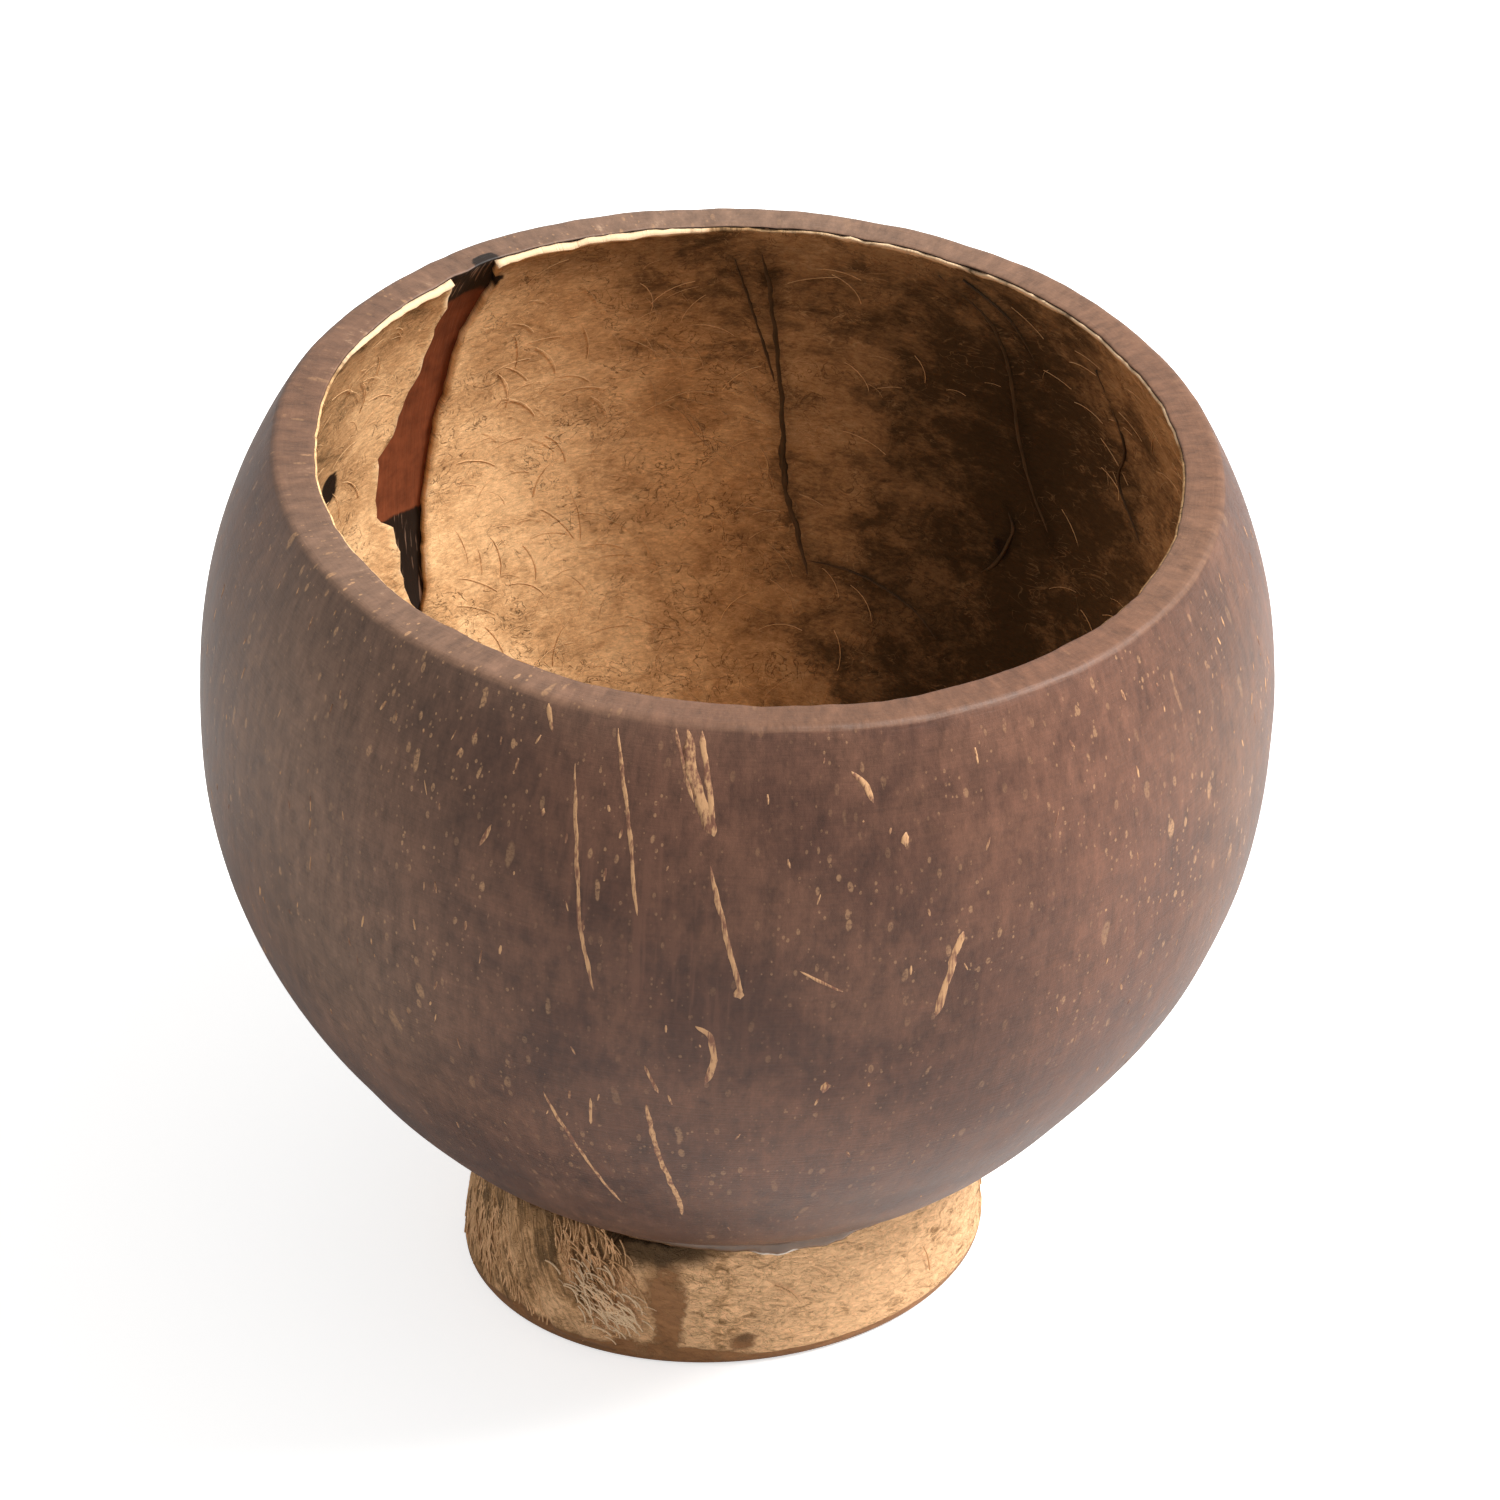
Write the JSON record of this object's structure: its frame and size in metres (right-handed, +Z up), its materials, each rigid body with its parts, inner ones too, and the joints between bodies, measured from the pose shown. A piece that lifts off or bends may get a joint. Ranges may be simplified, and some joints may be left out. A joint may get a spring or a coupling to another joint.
{
  "type": "coconut shell cup",
  "caption": "Open round cup made from a sanded coconut shell, its papery lining left inside, glued onto a short foot cut from a second piece of shell.",
  "frame": {"origin": "on the table, under the middle of the bowl's widest level", "axes": "+Z up, the mouth opens up, -Y is the front seen in the picture, +X to its right"},
  "size_m": [0.1201, 0.1201, 0.1056],
  "materials": {
    "sanded_shell": "sanded coconut shell, dark brown, satin",
    "papery_lining": "dry papery skin, golden tan, fibrous",
    "raw_shell": "unsanded shell with its fibrous skin, golden tan to olive brown",
    "glue": "hardened brownish glue, glossy"
  },
  "bodies": {
    "root": {"bowl_shell": "sanded_shell", "inner_lining": "papery_lining", "foot_ring": "raw_shell", "glue_seam": "glue"}
  },
  "joints": []
}
